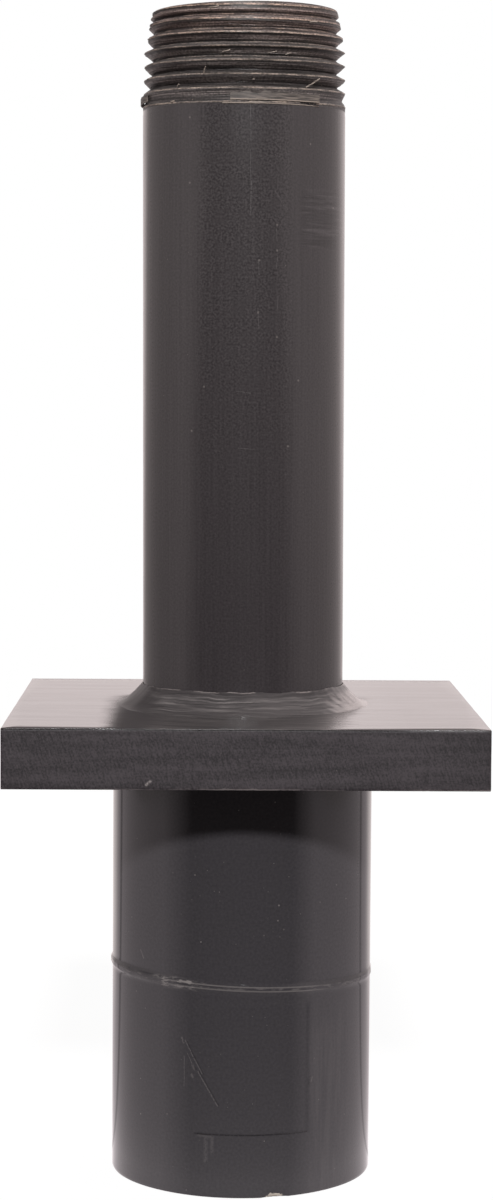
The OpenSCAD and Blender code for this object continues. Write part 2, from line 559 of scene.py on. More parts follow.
def weld_surface(share, turn):
    """Point of the weld's face from the pipe's toe at 0 to the plate's toe at 1."""
    around = bearing(at(1, turn, 0))
    ragged = ring_grain(turn, 6, 1.7)
    fine = ring_grain(turn, 30, 8.3)
    top = WELD_TOP - (0.3 + 0.2 * ragged + 0.08 * fine) * MM
    reach = weld_skirt(around) + 0.3 * MM * ring_grain(turn, 5, 4.2)
    inner = HOLE_R + 0.04 * MM
    hollow = 1.5 + 0.5 * fade(reach, WELD_R, WELD_R + 3 * MM)
    run = share ** 1.25
    height = PLATE_TOP + 0.01 * MM + (top - PLATE_TOP) * (1 - run) ** hollow
    drag = ring_grain(turn, 2.2, run * (reach - inner) / (0.9 * MM))
    drag += 0.6 * ring_grain(turn, 5, run * (reach - inner) / (0.35 * MM))
    height += 0.05 * MM * drag * min(1.0, 5 * share) * (1 - share) ** 0.7
    return at(inner + (reach - inner) * run, turn, max(PLATE_TOP + 0.008 * MM, height))


def pipe_weld():
    weld = start_ring("pipe_weld_bead", 360)
    grow_rim(weld, ring(HOLE_R, WELD_TOP - 0.7 * MM))
    for row in range(WELD_ROWS + 1):
        grow_rim(weld, lambda p: weld_surface(row / WELD_ROWS, turn_of(p)))
    grow_rim(weld, lambda p: at(math.hypot(p.x, p.y), turn_of(p), PLATE_TOP))
    bridge_rims(weld, PLATE_TOP - MM, PLATE_TOP + MM)
    move_points(weld, lean_over)
    face_outward(weld, 60)
    return weld


# Socket coupling, with the sides of its blank patch as bearings in degrees

PATCH_LOW = 10.5 * MM
PATCH_HIGH = 32.0 * MM
PATCH_LEFT = -19.8
PATCH_RIGHT = 30.0
PATCH_DEPTH = 0.06 * MM
RIDGE_TILT = 0.037
RIM_CHAMFER = 0.4 * MM
MOUTH_FLARE = 0.6 * MM
MOUTH_DEPTH = 1.2 * MM


def ridge_height(turn):
    """Height of the parting ridge off the wall, fuller on the left."""
    swell = 0.6 + 0.4 * fade(-math.degrees(turn), 30, 70)
    return RIDGE_H * min(1.0, max(0.25, swell + 0.35 * ring_grain(turn, 9, 2.2)))


def shape_coupling(point):
    """Tilt and roughen the ridge and sink the blank patch on the outer wall."""
    radius = math.hypot(point.x, point.y)
    if radius < COUPLING_R - 0.05 * MM:
        return point
    around = bearing(point)
    z = point.z
    off = (z - RIDGE_Z) / MM
    if radius > COUPLING_R + 0.001 * MM:
        radius = COUPLING_R + (radius - COUPLING_R) / RIDGE_H * ridge_height(around)
    z += -RIDGE_TILT * point.x * (1 - fade(abs(off), 2.5, 7))
    left, right = math.radians(PATCH_LEFT), math.radians(PATCH_RIGHT)
    in_patch = fade(z, PATCH_LOW - 0.1 * MM, PATCH_LOW + 0.1 * MM)
    in_patch *= 1 - fade(z, PATCH_HIGH - 0.3 * MM, PATCH_HIGH + 0.3 * MM)
    in_patch *= fade(around, left - 0.008, left + 0.008)
    in_patch *= 1 - fade(around, right - 0.008, right + 0.008)
    return at(radius - PATCH_DEPTH * in_patch, turn_of(point), z)


def chip_rim(point):
    """Small chip out of the lower edge, right of the front."""
    aside = (bearing(point) - math.radians(15.4)) * COUPLING_R
    away = math.hypot(aside / (2.2 * MM), point.z / (1.1 * MM))
    radius = math.hypot(point.x, point.y)
    if radius < COUPLING_R - 1.2 * MM or away > 1:
        return point
    depth = 0.35 * MM * (1 - away) ** 0.5
    rough = 1 + 0.5 * point_grain(point, 0.4)
    return at(radius - depth * rough, turn_of(point), point.z + 0.2 * depth)


def socket_coupling():
    lower = [0.4, 0.7, 1.2, 2, 3, 4, 5.5, 7, 8.5, 10.2, 10.4, 10.5, 10.6, 10.8]
    lower += [12, 14, 16, 18, 20, 22, 24, 26, 28, 30, 31.4, 31.7, 32, 32.3, 32.6, 33.1]
    upper = [36, 36.6, 37.4, 38.5, 40, 42, 45, 49, 54, 59, 64, 68.6]
    ridge = [(-0.9, 0), (-0.7, 0.35), (-0.5, 0.7), (-0.3, 1), (-0.1, 1)]
    ridge += [(-off, share) for off, share in reversed(ridge)]
    profile = [(COUPLING_R - RIM_CHAMFER, 0), (COUPLING_R - 0.1 * MM, 0.15 * MM)]
    profile += [(COUPLING_R, z * MM) for z in lower]
    profile += [(COUPLING_R + share * RIDGE_H, RIDGE_Z + off * MM) for off, share in ridge]
    profile += [(COUPLING_R, z * MM) for z in upper]
    profile += [(COUPLING_R - RIM_CHAMFER, COUPLING_TOP)]
    # Sockets and the stop ring between them
    profile += [(SOCKET_R + MOUTH_FLARE, COUPLING_TOP), (SOCKET_R, COUPLING_TOP - MOUTH_DEPTH)]
    profile += [(SOCKET_R, RIDGE_Z + STOP_HALF), (STOP_R, RIDGE_Z + STOP_HALF)]
    profile += [(STOP_R, RIDGE_Z - STOP_HALF), (SOCKET_R, RIDGE_Z - STOP_HALF)]
    profile += [(SOCKET_R, MOUTH_DEPTH), (SOCKET_R + MOUTH_FLARE, 0), (COUPLING_R - RIM_CHAMFER, 0)]
    coupling = trace_chain("socket_coupling_body", [(radius, 0, z) for radius, z in profile])
    turn_round(coupling, 480)
    move_points(coupling, shape_coupling)
    move_points(coupling, chip_rim)
    face_outward(coupling, 35)
    return coupling


# Nodes of the finishes

def is_output(value):
    return isinstance(value, bpy.types.NodeSocket)


def feed(socket, value):
    """Link a node's input to another node's output, or set its plain value."""
    if is_output(value):
        socket.id_data.links.new(value, socket)
    else:
        socket.default_value = value


def tree_of(values):
    """Node tree of the first value that comes from a node."""
    return next(value.id_data for value in values if is_output(value))


def add_node(tree, kind, inputs=None, **settings):
    made = tree.nodes.new(kind)
    for name, value in settings.items():
        setattr(made, name, value)
    for name, value in (inputs or {}).items():
        feed(made.inputs[name], value)
    return made


def math_node(operation, *values):
    inputs = dict(enumerate(values))
    return add_node(tree_of(values), "ShaderNodeMath", inputs, operation=operation).outputs[0]


def vector_node(operation, *values):
    inputs = dict(enumerate(values))
    made = add_node(tree_of(values), "ShaderNodeVectorMath", inputs, operation=operation)
    return made.outputs["Value" if operation in ("DOT_PRODUCT", "LENGTH") else "Vector"]


plus = partial(math_node, "ADD")
less = partial(math_node, "SUBTRACT")
over = partial(math_node, "DIVIDE")
scaled = partial(math_node, "MULTIPLY_ADD")
larger = partial(math_node, "MAXIMUM")
smaller = partial(math_node, "MINIMUM")
size_of = partial(math_node, "ABSOLUTE")
stretched = partial(vector_node, "MULTIPLY")


def times(*values):
    return reduce(partial(math_node, "MULTIPLY"), values)


def apart(value, middle):
    return size_of(less(value, middle))


def step_node(value, low, high):
    """Smooth step from 0 at low to 1 at high, where high may be the lower number."""
    inputs = {"Value": value, "From Min": low, "From Max": high}
    made = add_node(value.id_data, "ShaderNodeMapRange", inputs, interpolation_type="SMOOTHSTEP")
    return made.outputs["Result"]


def hump(value, start, full, fall, end):
    """Mask that rises from start to full and falls from there to the end."""
    return times(step_node(value, start, full), step_node(value, end, fall))


def split(vector):
    return list(add_node(vector.id_data, "ShaderNodeSeparateXYZ", {0: vector}).outputs)


def joined(x, y):
    return add_node(tree_of((x, y)), "ShaderNodeCombineXYZ", {"X": x, "Y": y}).outputs[0]


def in_mm(place):
    return stretched(place, (1 / MM, 1 / MM, 1 / MM))


def turn_node(x, y):
    """Bearing of a place or direction, 0 at the front and positive to the right."""
    return math_node("ARCTAN2", x, times(y, -1.0))


def radius_node(x, y):
    return math_node("SQRT", scaled(y, y, times(x, x)))


def mix_color(factor, first, second):
    first, second = (value if is_output(value) else (*value, 1) for value in (first, second))
    inputs = {0: factor, 6: first, 7: second}
    return add_node(factor.id_data, "ShaderNodeMix", inputs, data_type="RGBA").outputs[2]


def mix_value(factor, first, second):
    return add_node(factor.id_data, "ShaderNodeMix", {0: factor, 2: first, 3: second}).outputs[0]


def tint(base, mask, share, color):
    """Lay a colour over the base where the mask is, up to a share."""
    return mix_color(times(mask, share), base, color)


def add_ramp(factor, stops):
    """Ramp through stops given as a position and a colour or grey level."""
    made = add_node(factor.id_data, "ShaderNodeValToRGB", {"Fac": factor})
    elements = made.color_ramp.elements
    elements[0].position = stops[0][0]
    elements[1].position = stops[-1][0]
    for position, _ in stops[1:-1]:
        elements.new(position)
    for element, (_, color) in zip(elements, stops):
        element.color = (*color, 1) if isinstance(color, tuple) else (color, color, color, 1)
    return made.outputs["Color"]


def noise_value(place, scale, detail=3.0, roughness=0.5):
    inputs = {"Vector": place, "Scale": scale, "Detail": detail, "Roughness": roughness}
    return add_node(place.id_data, "ShaderNodeTexNoise", inputs).outputs["Fac"]


def bump_node(height, strength, depth):
    """Relief from a height, with its depth in millimetres."""
    inputs = {"Height": height, "Strength": strength, "Distance": depth * MM}
    return add_node(height.id_data, "ShaderNodeBump", inputs)


# Effects that several finishes share

def new_group(name, inputs, outputs):
    """Empty node group, the sockets it is given and the node that takes its results."""
    group = bpy.data.node_groups.new(name, "ShaderNodeTree")
    for way, sockets in (("INPUT", inputs), ("OUTPUT", outputs)):
        for label, kind in sockets.items():
            group.interface.new_socket(label, in_out=way, socket_type="NodeSocket" + kind)
    given = group.nodes.new("NodeGroupInput")
    return group, [given.outputs[label] for label in inputs], group.nodes.new("NodeGroupOutput")


def put_out(result, values):
    for label, value in values.items():
        feed(result.inputs[label], value)


def fill_group(group, inputs):
    """Place a group in the finish and give back its outputs in their order."""
    made = add_node(tree_of(inputs.values()), "ShaderNodeGroup", inputs, node_tree=group)
    return list(made.outputs)


def unrolled_group():
    """Place on a round piece as arc length and height in millimetres, with the radius."""
    group, (place, wrap), result = new_group(
        "unrolled", {"Place": "Vector", "Wrap Radius": "Float"},
        {"Sheet": "Vector", "Radius": "Float", "Height": "Float", "Turn": "Float"})
    x, y, z = split(place)
    turn = turn_node(x, y)
    height = times(z, 1 / MM)
    radius = times(radius_node(x, y), 1 / MM)
    sheet = joined(times(turn, wrap), height)
    put_out(result, {"Sheet": sheet, "Radius": radius, "Height": height, "Turn": turn})
    return group


def streak_group():
    """Noise drawn out along one direction, as a value from 0 to 1."""
    group, (sheet, across), result = new_group(
        "streaks", {"Sheet": "Vector", "Across": "Vector"}, {"Value": "Float"})
    put_out(result, {"Value": noise_value(stretched(sheet, across), 1.0, 3.0, 0.6)})
    return group


def speck_group():
    """Small scattered specks of dust of several sizes."""
    group, (sheet, spacing, size, share), result = new_group(
        "specks", {"Sheet": "Vector", "Spacing": "Float", "Size": "Float", "Share": "Float"},
        {"Mask": "Float"})
    scale = over(1.0, spacing)
    cells = add_node(group, "ShaderNodeTexVoronoi", {"Vector": sheet, "Scale": scale})
    pick = add_node(group, "ShaderNodeSeparateColor", {"Color": cells.outputs["Color"]})
    kept = math_node("LESS_THAN", pick.outputs[0], share)
    spread = scaled(pick.outputs[1], pick.outputs[1], 0.15)
    inside = less(1.0, over(cells.outputs["Distance"], times(spread, size, scale)))
    dot = smaller(times(larger(inside, 0.0), 2.5), 1.0)
    put_out(result, {"Mask": times(dot, kept)})
    return group


def stroke_group():
    """One scratch, drip or smear from a start to an end, broken up along its length."""
    group, (sheet, start, end, width), result = new_group(
        "stroke", {"Sheet": "Vector", "Start": "Vector", "End": "Vector", "Width": "Float"},
        {"Mask": "Float"})
    wander = add_node(group, "ShaderNodeTexNoise", {"Vector": sheet, "Scale": 1.3, "Detail": 2.0})
    shift = vector_node("SUBTRACT", wander.outputs["Color"], (0.5, 0.5, 0.5))
    shift = stretched(shift, (0.16, 0.16, 0.0))
    run = vector_node("SUBTRACT", end, start)
    off = vector_node("SUBTRACT", vector_node("ADD", sheet, shift), start)
    along = over(vector_node("DOT_PRODUCT", off, run), vector_node("DOT_PRODUCT", run, run))
    along = smaller(larger(along, 0.0), 1.0)
    nearest = add_node(group, "ShaderNodeVectorMath", {0: run, "Scale": along}, operation="SCALE")
    gap = vector_node("LENGTH", vector_node("SUBTRACT", off, nearest.outputs[0]))
    near = larger(less(1.0, over(gap, width)), 0.0)
    held = step_node(noise_value(sheet, 3.0, 2.0), 0.3, 0.5)
    put_out(result, {"Mask": times(near, held)})
    return group


def smear_group():
    """Dull cement dragged in front of the pipe, with circular drag streaks, painted shade on its left and
    a painted reflection of the pale backdrop on its right.
    """
    group, (place,), result = new_group(
        "cement_smear", {"Place": "Vector"},
        {"Mask": "Float", "Drag": "Float", "Shade": "Float", "Painted Reflection": "Float"})
    place = in_mm(place)
    x, y, _ = split(place)
    wobble = noise_value(place, 0.16)
    across = scaled(wobble, 3.0, x)
    ragged = noise_value(stretched(place, (0.06, 0.9, 1.0)), 1.0)
    slant = scaled(ragged, 7.0, scaled(y, -0.13, across))
    mask = times(step_node(across, -22.5, -16.5), step_node(slant, 26.5, 19.0), step_node(y, 14.0, 4.0))
    lay = joined(turn_node(x, y), scaled(wobble, 1.3, radius_node(x, y)))
    drag = noise_value(stretched(lay, (1.8, 2.6, 1.0)), 1.0, 4.0, 0.65)
    # Painted shade left of the pipe and a painted reflection of the pale backdrop on the right
    shade = step_node(across, -10.0, -16.0)
    painted_reflection = step_node(slant, 19.5, 25.0)
    put_out(result, {"Mask": mask, "Drag": drag, "Shade": shade, "Painted Reflection": painted_reflection})
    return group


UNROLLED = unrolled_group()
STREAKS = streak_group()
SPECKS = speck_group()
STROKE = stroke_group()
SMEAR = smear_group()


def unroll(place, wrap):
    return fill_group(UNROLLED, {"Place": place, "Wrap Radius": wrap})


def streaks(sheet, across):
    return fill_group(STREAKS, {"Sheet": sheet, "Across": across})[0]


def specks(sheet, spacing, size, share):
    return fill_group(SPECKS, {"Sheet": sheet, "Spacing": spacing, "Size": size, "Share": share})[0]


def arc_of(side, wrap):
    """Arc length in millimetres of a bearing seen from the camera."""
    return math.radians(side - FRONT_SIDE) * wrap


def gap_to(sheet, side, z, wrap):
    """Distance in millimetres from a bearing and height on a round piece."""
    return vector_node("LENGTH", vector_node("SUBTRACT", sheet, (arc_of(side, wrap), z, 0.0)))


def strokes(sheet, marks, wrap=None):
    """Mask of strokes given as start, end and half width, by bearing and height if a wrap is given."""
    masks = []
    for start, z, end, end_z, width in marks:
        if wrap:
            start, end = arc_of(start, wrap), arc_of(end, wrap)
        given = {"Sheet": sheet, "Start": (start, z, 0), "End": (end, end_z, 0), "Width": width}
        masks.append(fill_group(STROKE, given)[0])
    return reduce(larger, masks)


# Finishes

PIPE_WRAP = PIPE_R / MM
COUPLING_WRAP = COUPLING_R / MM
WELD_WRAP = 19.0
PLASTIC_IOR = 1.54
PALE_DUST = (0.3, 0.27, 0.26)
PALE_MARK = (0.26, 0.235, 0.23)
PAINTED_SHADE = (0.012, 0.011, 0.012)


def add_finish(name):
    finish = bpy.data.materials.new(name)
    finish.use_nodes = True
    shader = finish.node_tree.nodes["Principled BSDF"]
    shader.inputs["IOR"].default_value = PLASTIC_IOR
    place = add_node(finish.node_tree, "ShaderNodeTexCoord").outputs["Object"]
    return finish, shader, place


def dress(shader, color, roughness, relief, strength, depth):
    """Give the shader its colour, roughness and relief."""
    bump = bump_node(relief, strength, depth)
    feed(shader.inputs["Base Color"], color)
    feed(shader.inputs["Roughness"], roughness)
    feed(shader.inputs["Normal"], bump.outputs["Normal"])
    return bump


def drawn_pipe(sheet, arc, height, drawn, grainy, cloud, scuffs):
    """Colour of the plain drawn pipe, lighter towards the top as painted light from above, with dust and
    scuffs.
    """
    centre = step_node(size_of(arc), 8.6, 6.6)
    upper = scaled(step_node(height, 95.0, 165.0), 0.65, 0.1)
    upper = times(upper, step_node(noise_value(sheet, 0.3, 2.0), 0.2, 0.65))
    tone = scaled(less(grainy, 0.5), scaled(centre, upper, 0.3), 0.41)
    tone = scaled(drawn, 0.18, tone)
    # Painted light from above: the pipe is painted lighter towards the top, a little less so on the right
    right = times(step_node(arc, 6.0, 11.0), step_node(height, 120.0, 160.0))
    painted_top_light = times(step_node(height, 70.0, 190.0), scaled(right, -0.3, 1.0))
    plain = add_ramp(tone, [(0.36, (0.028, 0.0238, 0.0258)), (0.64, (0.06, 0.052, 0.0555))])
    paler_tone = add_ramp(tone, [(0.36, (0.041, 0.0362, 0.0376)), (0.64, (0.088, 0.0785, 0.0805))])
    base = mix_color(painted_top_light, plain, paler_tone)
    dust = times(specks(sheet, 1.1, 0.1, 0.35), step_node(cloud, 0.4, 0.65))
    base = tint(base, dust, 0.4, (0.3, 0.26, 0.24))
    base = tint(base, scuffs, 0.075, PALE_DUST)
    places = [(-31.3, 163.8), (-31.3, 174.2), (39.8, 170.2), (60.5, 160.3), (-30, 124.1), (-22.3, 131.2)]
    places += [(32, 132.3), (25.5, 121.7), (18.7, 157.1), (18.7, 153.0), (8.6, 151.4), (8, 143.1)]
    places += [(18.7, 139.2)]
    flecks = [step_node(gap_to(sheet, side, z, PIPE_WRAP), 0.24, 0.1) for side, z in places]
    base = tint(base, reduce(larger, flecks), 0.3, (0.34, 0.3, 0.28))
    # Rubbed bands on the right, below the thread
    rubs = times(hump(arc, 9.0, 10.5, 21.0, 24.0), hump(height, 153.0, 154.5, 162.0, 163.5))
    worn = add_ramp(streaks(sheet, (0.1, 1.6, 1.0)), [(0.38, 0.72), (0.52, 0.95), (0.66, 1.5)])
    return mix_color(rubs, base, stretched(base, worn))


def cut_plastic(sheet, radius, height, turn, skew):
    """Colour of the cut thread, with pale broken crests partly painted as highlights, roots and a line
    under each upper crest darkened as painted shade, and its fine drawn lines.
    """
    winding = scaled(turn, -0.5 / math.pi, 0.25 - THREAD_BASE / PITCH)
    winding = scaled(plus(height, skew), MM / PITCH, winding)
    across = math_node("FRACT", winding)
    lay = joined(turn, times(winding, PITCH / MM))
    lines = streaks(lay, (1.3, 6.0, 1.0))
    held = step_node(streaks(lay, (7.0, 2.5, 1.0)), 0.42, 0.56)
    high = step_node(height, 181.5, 184.5)
    # Tone across each pitch, with the roots and, on the upper turns, a line under each crest darkened as
    # painted shade
    low_cut_and_shade = add_ramp(across, [
        (0.0, (0.06, 0.052, 0.0505)), (0.06, (0.125, 0.108, 0.103)), (0.22, (0.15, 0.129, 0.123)),
        (0.3, (0.21, 0.18, 0.17)), (0.36, (0.12, 0.104, 0.099)), (0.54, (0.115, 0.1, 0.095)),
        (0.64, (0.125, 0.108, 0.102)), (0.76, (0.075, 0.065, 0.0625)), (0.9, (0.06, 0.052, 0.0505)),
        (1.0, (0.045, 0.039, 0.038))])
    high_cut_and_shade = add_ramp(across, [
        (0.0, (0.03, 0.026, 0.0255)), (0.06, (0.05, 0.0435, 0.0425)), (0.13, (0.2, 0.172, 0.163)),
        (0.3, (0.19, 0.164, 0.156)), (0.4, (0.06, 0.052, 0.05)), (0.48, (0.018, 0.0155, 0.015)),
        (0.565, (0.018, 0.0155, 0.015)), (0.6, (0.15, 0.13, 0.123)), (0.8, (0.118, 0.104, 0.1)),
        (0.93, (0.112, 0.098, 0.094)), (1.0, (0.03, 0.026, 0.0255))])
    cut = mix_color(high, low_cut_and_shade, high_cut_and_shade)
    cut = mix_color(step_node(radius, 16.5, 16.62), cut, (0.085, 0.0755, 0.075))
    cut = stretched(cut, add_ramp(lines, [(0.39, 0.32), (0.5, 0.9), (0.61, 1.85)]))
    # Pale crests, partly torn plastic and partly painted highlight, a broken painted highlight line on the
    # upper flanks of the upper turns, pale fuzz, and a painted shadow under the strip's loose end
    crest = times(step_node(apart(across, 0.6), 0.075, 0.03), scaled(held, 0.65, 0.25))
    edge = times(step_node(apart(across, 0.9), 0.05, 0.015), held, high)
    fuzz = times(specks(sheet, 0.5, 0.1, 0.3), 0.7)
    pale = larger(larger(crest, times(edge, 0.6)), fuzz)
    cut = mix_color(pale, cut, (0.47, 0.38, 0.315))
    # Painted shadow under the torn strip's loose end
    gap = strokes(sheet, [(33, 176.68, 43.5, 176.6, 0.22)], PIPE_WRAP)
    cut = mix_color(smaller(times(gap, 2.0), 1.0), cut, (0.012, 0.01, 0.01))
    # Pits all over and a warmer cut at the pipe's end
    pits = noise_value(stretched(sheet, (2.4, 3.6, 1.0)), 1.0)
    cut = stretched(cut, add_ramp(pits, [(0.36, 0.55), (0.5, 1.0), (0.64, 1.5)]))
    warm = step_node(height, 185.0, 190.0)
    return mix_color(warm, cut, stretched(cut, (1.19, 1.05, 1.0))), lines


def extruded_plastic():
    finish, shader, place = add_finish("extruded_plastic")
    # Places measured on the pipe as it stood before it leaned over
    x, y, z = split(place)
    shift = joined(scaled(z, PIPE_LEAN, -PIPE_LEAN * PLATE_FOOT), 0.0)
    sheet, radius, height, turn = unroll(vector_node("ADD", place, shift), PIPE_WRAP)
    arc = split(sheet)[0]
    drawn = streaks(sheet, (2.2, 0.03, 1.0))
    grainy = noise_value(sheet, 2.7)
    cloud = noise_value(sheet, 0.09, 2.0)
    scuffs = strokes(sheet, [
        (3.5, 176, 3.9, 170.5, 0.07), (3.7, 169, 3.6, 164.5, 0.07), (4.2, 164, 3.6, 158.5, 0.14),
        (18.2, 156.5, 18.6, 154.6, 0.12), (18.9, 152.2, 18.4, 150.2, 0.12), (19.3, 146, 19, 143.8, 0.12),
        (8, 151.5, 8.5, 149, 0.13), (7.8, 144, 8.4, 140.5, 0.13), (17.5, 162.5, 23.5, 159.7, 0.11),
        (19, 162, 25, 159.5, 0.11), (4, 161.6, 8, 161.5, 0.1), (-4, 130.5, 4, 130.2, 0.09),
        (-3, 121.4, 6, 121.2, 0.1)], PIPE_WRAP)
    base = drawn_pipe(sheet, arc, height, drawn, grainy, cloud, scuffs)
    # The thread leans as it does at the pipe's wall, so places on its flanks are carried out to it
    skew = times(x, WALL_SHARE / MM * LEAN_RIGHT)
    skew = scaled(y, -WALL_SHARE / MM * LEAN_FRONT, skew)
    cut, lines = cut_plastic(sheet, radius, height, turn, skew)
    worked = step_node(height, 176.25, 176.6)
    threaded = times(worked, less(1.0, math_node("LESS_THAN", radius, 14.9)))
    sheen = mix_value(scuffs, add_ramp(cloud, [(0.3, 0.17), (0.7, 0.22)]), 0.32)
    relief = mix_value(threaded, scaled(grainy, 0.35, drawn), times(lines, 3.0))
    color = mix_color(threaded, base, cut)
    dress(shader, color, mix_value(worked, sheen, 0.5), relief, 0.35, 0.03)
    return finish


def torn_plastic(name, shades):
    """Rough plastic of shavings and torn edges, in shades from dark to pale."""
    finish, shader, place = add_finish(name)
    sheet = in_mm(place)
    drawn = streaks(sheet, (0.3, 0.3, 5.5))
    base = add_ramp(drawn, list(zip((0.38, 0.5, 0.62), shades)))
    foot = step_node(split(sheet)[2], 177.05, 176.85)
    base = tint(base, foot, 0.85, (0.45, 0.37, 0.31))
    dress(shader, base, add_ramp(drawn, [(0.3, 0.45), (0.7, 0.65)]), drawn, 0.4, 0.05)
    return finish


def sawn_sides(sheet, grainy):
    """Colour and relief of the plate's sides, with slanting saw marks and a torn lower edge."""
    x, y, z = split(sheet)
    lay = joined(scaled(z, 0.35, plus(x, y)), z)
    band = streaks(lay, (0.05, 0.6, 1.0))
    tone = scaled(streaks(lay, (3.4, 0.5, 1.0)), 0.3, times(grainy, 0.42))
    tone = scaled(band, 0.28, tone)
    cut = add_ramp(tone, [(0.42, (0.022, 0.0182, 0.0205)), (0.58, (0.066, 0.0555, 0.0615))])
    cut = tint(cut, specks(sheet, 1.0, 0.09, 0.3), 0.4, (0.25, 0.22, 0.21))
    brink = scaled(streaks(lay, (0.9, 2.0, 1.0)), 0.6, z)
    brink = step_node(apart(brink, PLATE_FOOT / MM + 0.42), 0.16, 0.03)
    brink = times(brink, step_node(band, 0.42, 0.56))
    cut = tint(cut, brink, 0.6, (0.24, 0.21, 0.205))
    chip = strokes(joined(x, z), [(-15.3, 69.8, -14.7, 70.35, 0.3)])
    chip = times(chip, math_node("LESS_THAN", y, 0.0))
    return tint(cut, chip, 0.6, (0.5, 0.45, 0.43)), tone


def sheet_plastic():
    finish, shader, place = add_finish("sheet_plastic")
    sheet = in_mm(place)
    x, y, z = split(sheet)
    top = PLATE_TOP / MM
    side = step_node(larger(size_of(x), size_of(y)), 37.75, 37.85)
    side = times(side, math_node("LESS_THAN", z, top - 0.06))
    grainy = noise_value(sheet, 3.0, 5.0)
    cut, tone = sawn_sides(sheet, grainy)
    face = add_ramp(grainy, [(0.3, (0.048, 0.039, 0.0405)), (0.7, (0.063, 0.0515, 0.053))])
    face = tint(face, specks(sheet, 1.6, 0.1, 0.25), 0.35, (0.3, 0.27, 0.25))
    # Cement dragged over the top in front of the pipe, with painted shade on its left and a painted
    # reflection of the pale backdrop on its right
    mask, drag, shade, painted_reflection = fill_group(SMEAR, {"Place": place})
    on_top = step_node(z, top - 0.2, top - 0.1)
    mask = times(mask, on_top)
    film = add_ramp(drag, [
        (0.32, (0.045, 0.04, 0.041)), (0.5, (0.092, 0.0825, 0.083)), (0.68, (0.24, 0.215, 0.21))])
    film = mix_color(shade, film, (0.064, 0.0565, 0.058))
    film = tint(film, painted_reflection, 0.7, (0.32, 0.28, 0.275))
    color = mix_color(side, mix_color(mask, face, film), cut)
    wiped = noise_value(stretched(sheet, (0.05, 0.4, 1.0)), 1.0)
    gloss = mix_value(mask, add_ramp(wiped, [(0.35, 0.13), (0.7, 0.16)]), 0.42)
    relief = mix_value(mask, times(wiped, 0.06), times(drag, 2.0))
    relief = mix_value(side, relief, tone)
    bump = dress(shader, color, mix_value(side, gloss, 0.42), relief, 0.3, 0.05)
    # The skin of cement falls away to the right, so that the top mirrors the pipe askew
    flank = bump_node(times(step_node(x, 26.0, -2.0), on_top), 1.0, 3.2)
    feed(bump.inputs["Normal"], flank.outputs["Normal"])
    # On the left it also rises towards the pipe
    wedge = step_node(scaled(y, -0.034, x), -22.1, -17.7)
    wedge = times(wedge, mask, step_node(x, -8.0, -16.0))
    upward = add_node(finish.node_tree, "ShaderNodeNewGeometry").outputs["Normal"]
    upward = vector_node("ADD", upward, joined(0.0, times(wedge, -0.28)))
    feed(flank.inputs["Normal"], vector_node("NORMALIZE", upward))
    return finish


def weld_plastic():
    finish, shader, place = add_finish("weld_plastic")
    sheet, radius, _, _ = unroll(place, WELD_WRAP)
    mask, drag, shade, painted_reflection = fill_group(SMEAR, {"Place": place})
    base = add_ramp(drag, [
        (0.32, (0.047, 0.042, 0.043)), (0.5, (0.1, 0.09, 0.0905)), (0.68, PALE_MARK)])
    # Painted shade on the left and a painted reflection of the pale backdrop on the right
    base = mix_color(shade, base, (0.05, 0.044, 0.0455))
    base = tint(base, painted_reflection, 0.85, (0.52, 0.455, 0.445))
    # Wiped paler just right of the front's middle, darker near the pipe
    wiped = step_node(apart(split(place)[0], 5.0 * MM), 6.0 * MM, 0.0)
    base = tint(base, wiped, 0.3, (0.2, 0.18, 0.178))
    base = tint(base, step_node(radius, 18.0, 17.2), 0.7, (0.045, 0.039, 0.041))
    # Pale broken line where the weld meets the pipe
    broken = step_node(noise_value(sheet, 0.3, 4.0), 0.42, 0.6)
    toe = times(step_node(radius, 17.0, 16.85), broken)
    base = mix_color(toe, base, (0.27, 0.236, 0.226))
    gloss = mix_value(mask, add_ramp(drag, [(0.35, 0.16), (0.65, 0.24)]), 0.42)
    dress(shader, base, gloss, drag, 0.3, 0.1)
    return finish


def ridge_cement_and_highlight(sheet, arc, height, turn):
    """Mask of the cement smeared along the parting ridge, heaviest on the left, with painted highlight
    lines beside the ridge in front.
    """
    off = less(scaled(turn, 0.8, height), RIDGE_Z / MM)
    heavy = hump(arc, -17.0, -14.0, -8.0, -5.0)
    spread = over(size_of(off), scaled(heavy, 0.6, 0.4))
    ridge_mark = step_node(streaks(sheet, (0.5, 2.2, 1.0)), 0.46, 0.64)
    ridge_mark = times(ridge_mark, step_node(spread, 1.2, 0.4), scaled(heavy, 0.8, 0.5))
    # Two narrow painted highlight lines, one on each side of the ridge
    ridge_highlight = step_node(apart(size_of(plus(off, 0.05)), 0.32), 0.17, 0.05)
    ridge_highlight = times(ridge_highlight, step_node(size_of(arc), 17.0, 10.0), 0.45)
    return larger(times(ridge_mark, 0.7), ridge_highlight)


